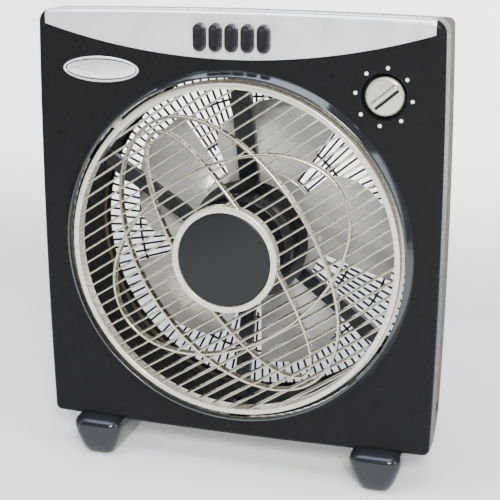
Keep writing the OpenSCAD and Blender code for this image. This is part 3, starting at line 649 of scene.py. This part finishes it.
# --- Rear shell and guard ---------------------------------------------------------------------
DRAFT = 6.0                             # how much smaller the back is than the split
GUARD_R, GUARD_GAP = 169.0, 0.3
SHELL_SCREWS = [(-172, 196), (172, 196), (-180, 22), (180, 22), (-172, -162), (172, -162)]
HEAD_R, SHANK_R, HEAD_SEAT = 4.2, 2.1, -50
GUARD_SCREWS = [polar(173, a) for a in (35, 145, 215, 325)]
GLAND, GLAND_R = (150.0, -150.0), 9.1

rear = Shape()
rear.loft([ring(outline(WALL), SPLIT - 8), ring(outline(WALL), SPLIT - 0.4),
           ring(outline(0.6), SPLIT - 0.4), ring(outline(0.1), SPLIT - 0.9)]
          + [ring(outline(DRAFT + drop), BACK + inset) for inset, drop in edge_cuts()])
rear.plate(outline(DRAFT + EDGE), [circle(GUARD_R + GUARD_GAP, 192), circle(GLAND_R, 48, GLAND)]
           + [circle(HEAD_R, 32, p) for p in SHELL_SCREWS], BACK)
rear.lathe([(GUARD_R + GUARD_GAP, BACK), (GUARD_R + GUARD_GAP, BACK + WALL),
            (GUARD_R + 6, BACK + WALL)], 192)
rear.lathe([(GLAND_R, BACK), (GLAND_R, BACK + 1.5), (GLAND_R - 3, BACK + 1.5)], 48, GLAND)
for p in SHELL_SCREWS:
    rear.lathe([(HEAD_R, BACK), (HEAD_R, HEAD_SEAT), (SHANK_R, HEAD_SEAT)], 32, p)
weighted(piece("rear_shell", rear, M["rear_champagne"], "housing", ["rear_housing"]))

# Dark slots low on both sides of the shell
SLOT_Y, SLOT_F = -146, -42
SLOT_CORNERS = ((-3, -7), (3, -7), (3, 7), (-3, 7))
SLOT_LAYERS = ((189.6, 1), (190.6, 1), (190.75, 0.8))      # distance from the middle and scale
for side, name in ((-1, "shell_slot_left"), (1, "shell_slot_right")):
    slot_mark = Shape()
    slot_mark.loft([[(side * x, SLOT_Y + scale * dy, SLOT_F + scale * df) for dy, df in SLOT_CORNERS]
                    for x, scale in SLOT_LAYERS], caps=True)
    piece(name, slot_mark, duct_black, "housing", ["rear_housing"])

SPOKES, GUARD_RINGS = 60, (62, 95, 132)
SPOKE_START, HALF_SPOKE_START, SPOKE_END = 44, 90, 166
guard = Shape()
bar = fillet([(-1.1, BACK + WALL), (-1.1, BACK), (1.1, BACK), (1.1, BACK + WALL)], 0.7, 2, closed=True)


def spoke(r0, r1, angle):
    guard.loft([[turn(r, w, angle) + (f,) for w, f in bar] for r in np.linspace(r0, r1, 3)], caps=True)


# Whole spokes, and shorter ones between them
for k in range(SPOKES):
    spoke(SPOKE_START, SPOKE_END, 360 / SPOKES * k)
    spoke(HALF_SPOKE_START, SPOKE_END, 360 / SPOKES * (k + 0.5))
for r in GUARD_RINGS:
    guard.lathe([(r + w, f) for w, f in bar], 160, loop=True)
guard.lathe(fillet([(GUARD_R - 4, BACK + WALL), (GUARD_R - 4, BACK), (GUARD_R, BACK),
                    (GUARD_R, BACK + WALL)], 0.6, 3, closed=True), 192, loop=True)
guard.lathe(fillet([(0.1, BACK), (41, BACK), (45, BACK + 0.4), (45, BACK + WALL),
                    (0.1, BACK + WALL)], [0, 1, 0.6, 0.4, 0]), 96)
for p in GUARD_SCREWS:
    guard.lathe(fillet([(5.2, BACK + 2), (5.2, BACK), (1.8, BACK), (1.8, BACK + 2)], 0.4), 32, p)
piece("guard_moulding", guard, M["satin_black"], "housing", ["rear_guard"])

# --- Feet -------------------------------------------------------------------------------------
FOOT_X = 141.0
foot_lo, foot_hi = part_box("foot_right")
FOOT_F0 = -(foot_lo.y - RIM_Y) / MM
FOOT_F1 = -(foot_hi.y - RIM_Y) / MM


def foot_ring(x, height, half, front, back, r, n=10):
    """A rounded rectangle at a height above the floor."""
    f0, f1 = FOOT_F0 - front, FOOT_F1 + back
    loop = []
    for q, (cx, cf) in enumerate(((half - r, f0 - r), (-(half - r), f0 - r),
                                  (-(half - r), f1 + r), (half - r, f1 + r))):
        for k in range(n + 1):
            dx, df = polar(r, 90 * (q + k / n))
            loop.append((x + cx + dx, height - AXIS_Z / MM, cf + df))
    return loop


# Height above the floor, half width, setback of the front and of the back, corner radius
FOOT_LAYERS = ((1.2, 13.5, 9, 18, 8), (2.6, 14.5, 7.7, 15.4, 8.4), (5, 15.8, 6, 12, 9),
               (9, 17.8, 4, 8.2, 9.8), (13, 19.6, 2.4, 5, 10.5), (17.5, 21.2, 1.5, 3, 11),
               (22, 22.8, 0.6, 1.2, 11.5), (27, 24.1, 0.2, 0.5, 11.8), (31, 24.95, 0, 0, 12),
               (34, 24.4, 0.6, 0.3, 11.7), (36.5, 23.2, 2.5, 1, 11), (38, 21.5, 6.2, 1.5, 10),
               (40, 19, 11, 2.2, 9), (41.8, 15.6, 18, 3.6, 8.2))
for side, node in ((-1, "foot_left"), (1, "foot_right")):
    foot = Shape()
    foot.loft([foot_ring(side * FOOT_X, *layer) for layer in FOOT_LAYERS], caps=True)
    piece(node + "_shoe", foot, foot_black, "housing", [node], sharp=50)

# --- Stage, light, camera (metres) ------------------------------------------------------------
STAGE_HALF_W, STAGE_FRONT, STAGE_TOP = 3.2, -2.6, 3.2
SWEEP_START, SWEEP_R = 1.6, 0.8         # where the floor starts to curve up behind the fan


def stage_material():
    mat = bpy.data.materials.new("studio_floor")
    mat.use_nodes = True
    bsdf = mat.node_tree.nodes["Principled BSDF"]
    bsdf.inputs["Base Color"].default_value = (0.93, 0.925, 0.915, 1)
    bsdf.inputs["Roughness"].default_value = 0.9
    return mat


path = [(STAGE_FRONT, 0.0)]
for k in range(17):
    a = math.radians(90 * k / 16)
    path.append((SWEEP_START + SWEEP_R * math.sin(a), SWEEP_R * (1 - math.cos(a))))
path.append((SWEEP_START + SWEEP_R, STAGE_TOP))
verts = [(x, y, z) for x in (-STAGE_HALF_W, STAGE_HALF_W) for y, z in path]
n = len(path)
mesh = bpy.data.meshes.new("studio_sweep")
mesh.from_pydata(verts, [], [(k, k + 1, n + k + 1, n + k) for k in range(n - 1)])
mesh.polygons.foreach_set("use_smooth", [True] * len(mesh.polygons))
mesh.materials.append(stage_material())
floor = bpy.data.objects.new("studio_sweep", mesh)
bpy.context.scene.collection.objects.link(floor)

world = bpy.data.worlds.new("studio")
bpy.context.scene.world = world
world.use_nodes = True
world.node_tree.nodes["Background"].inputs["Color"].default_value = (0.93, 0.95, 1.0, 1)
world.node_tree.nodes["Background"].inputs["Strength"].default_value = 0.2


def area(name, at, towards, size, power, color=(1, 1, 1)):
    """A rectangular area light that faces a point."""
    light = bpy.data.lights.new(name, "AREA")
    light.shape, light.size, light.size_y = "RECTANGLE", size[0], size[1]
    light.energy, light.color = power, color
    obj = bpy.data.objects.new(name, light)
    obj.location = at
    obj.rotation_euler = (Vector(towards) - Vector(at)).to_track_quat("-Z", "Y").to_euler()
    bpy.context.scene.collection.objects.link(obj)


area("key_front", (0.8, -2.2, 1.5), (0, 0, 0.25), (0.7, 0.5), 115, (1, 0.985, 0.95))
area("overhead_box", (-0.1, -0.42, 1.7), (-0.1, -0.2, 0.2), (1.7, 1.1), 40, (0.70, 0.83, 1))
area("side_box", (1.6, -0.5, 0.75), (0, 0, 0.3), (0.7, 1.2), 11, (0.74, 0.87, 1))
area("fill_left", (-1.5, -1.0, 0.8), (0, 0, 0.2), (0.8, 1.0), 4, (0.95, 0.97, 1))
area("back_wash", (0, 1.2, 1.15), (0, 2.4, 0.45), (3.8, 0.5), 95)

# The viewing angle: from the right of the front, looking down a little
CAMERA_AT = (352.1, 320.7, 1061.8)      # in the front view
YAW, PITCH = math.radians(17.417), math.radians(15.781)
camera = bpy.data.cameras.new("camera")
camera.lens, camera.sensor_width = 90.4, 36.0
camera_obj = bpy.data.objects.new("camera", camera)
camera_obj.location = pt(*CAMERA_AT)
direction = Vector((-math.sin(YAW) * math.cos(PITCH), math.cos(YAW) * math.cos(PITCH),
                    -math.sin(PITCH)))
camera_obj.rotation_euler = direction.to_track_quat("-Z", "Y").to_euler()
bpy.context.scene.collection.objects.link(camera_obj)
bpy.context.scene.camera = camera_obj
